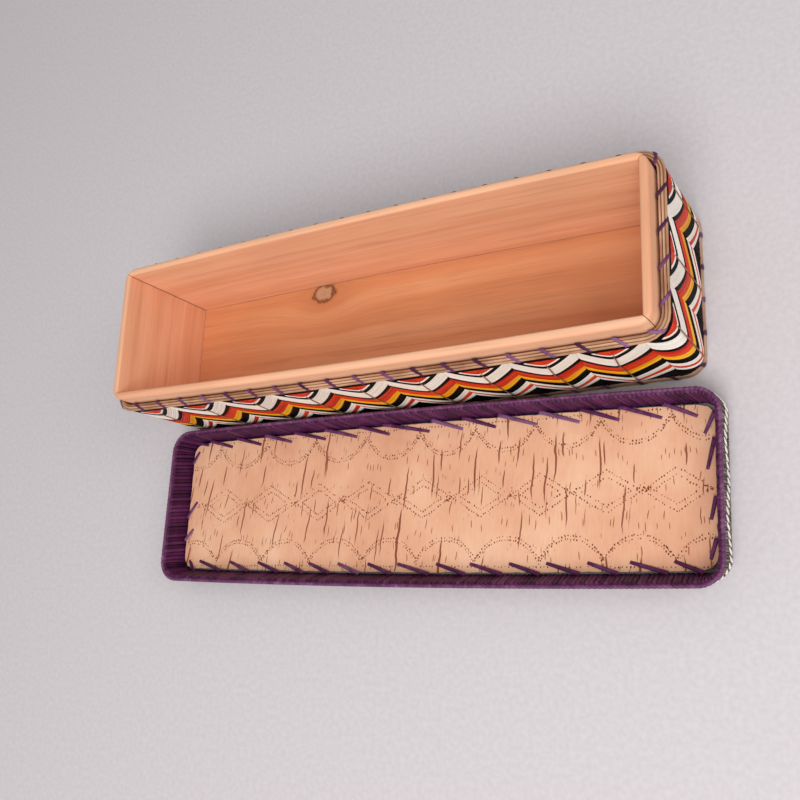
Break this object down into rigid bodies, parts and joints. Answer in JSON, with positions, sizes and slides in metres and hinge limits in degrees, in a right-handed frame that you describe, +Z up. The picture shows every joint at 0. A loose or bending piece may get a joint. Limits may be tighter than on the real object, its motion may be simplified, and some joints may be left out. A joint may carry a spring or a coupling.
{
  "type": "lidded quillwork box",
  "caption": "Long narrow cedar box in a birchbark cover of zigzag quillwork, open, with its root-wrapped bark lid turned over beside it",
  "frame": {"origin": "Middle of the underside of the bottom board, on the surface that the box stands on", "axes": "X runs along the length of the box, Y runs to its back, Z is up, and the open lid lies on the -Y side"},
  "size_m": [0.32, 0.181, 0.0738],
  "materials": {
    "cedar": "oiled by age, satin",
    "cedar_floor": "oiled by age, satin",
    "birchbark": "matte",
    "splint": "matte",
    "purple_root": "dyed, satin",
    "faded_root": "faded dye, matte",
    "quill_white": "natural, satin",
    "quill_black": "dyed, satin",
    "quill_red": "dyed, satin",
    "quill_yellow": "dyed, satin"
  },
  "bodies": {
    "box": {"bark_cover": "birchbark", "foot_lashing": "purple_root", "foot_splint": "splint", "liner_back": "cedar", "liner_bottom": "cedar_floor", "liner_front": "cedar", "liner_left_end": "cedar", "liner_right_end": "cedar", "quills_black_broad": "quill_black", "quills_black_fans": "quill_black", "quills_black_fine": "quill_black", "quills_black_upper": "quill_black", "quills_red_broad": "quill_red", "quills_red_fans": "quill_red", "quills_red_fine": "quill_red", "quills_white_broad": "quill_white", "quills_white_fine": "quill_white", "quills_white_last": "quill_white", "quills_white_lower": "quill_white", "quills_yellow": "quill_yellow", "rim_lashing": "purple_root", "rim_splint_inner": "splint", "rim_splint_middle": "splint", "rim_splint_outer": "splint"},
    "lid": {"lid_inner_wrap": "purple_root", "lid_outer_wrap": "faded_root", "lid_panel": "birchbark", "lid_panel_stitches": "purple_root", "lid_quills_diamond_1": "quill_yellow", "lid_quills_diamond_2": "quill_yellow", "lid_quills_diamond_3": "quill_yellow", "lid_quills_diamond_4": "quill_yellow", "lid_quills_diamond_5": "quill_yellow", "lid_quills_diamond_6": "quill_yellow", "lid_quills_diamond_7": "quill_yellow", "lid_quills_diamond_8": "quill_yellow", "lid_quills_diamond_chain": "quill_red", "lid_quills_field_back": "quill_white", "lid_quills_field_front": "quill_white", "lid_quills_scallops_back": "quill_black", "lid_quills_scallops_front": "quill_black", "lid_rim_binding": "purple_root", "lid_side_quills": "quill_white", "lid_wall_splint": "splint"}
  },
  "joints": [
    {"name": "lid_turn_over", "type": "hinge", "parent": "box", "child": "lid", "pos_m": [0.00261, -0.04471, 0.04228], "axis": [-1, 0.009, 0], "range_deg": [0, 180]}
  ]
}
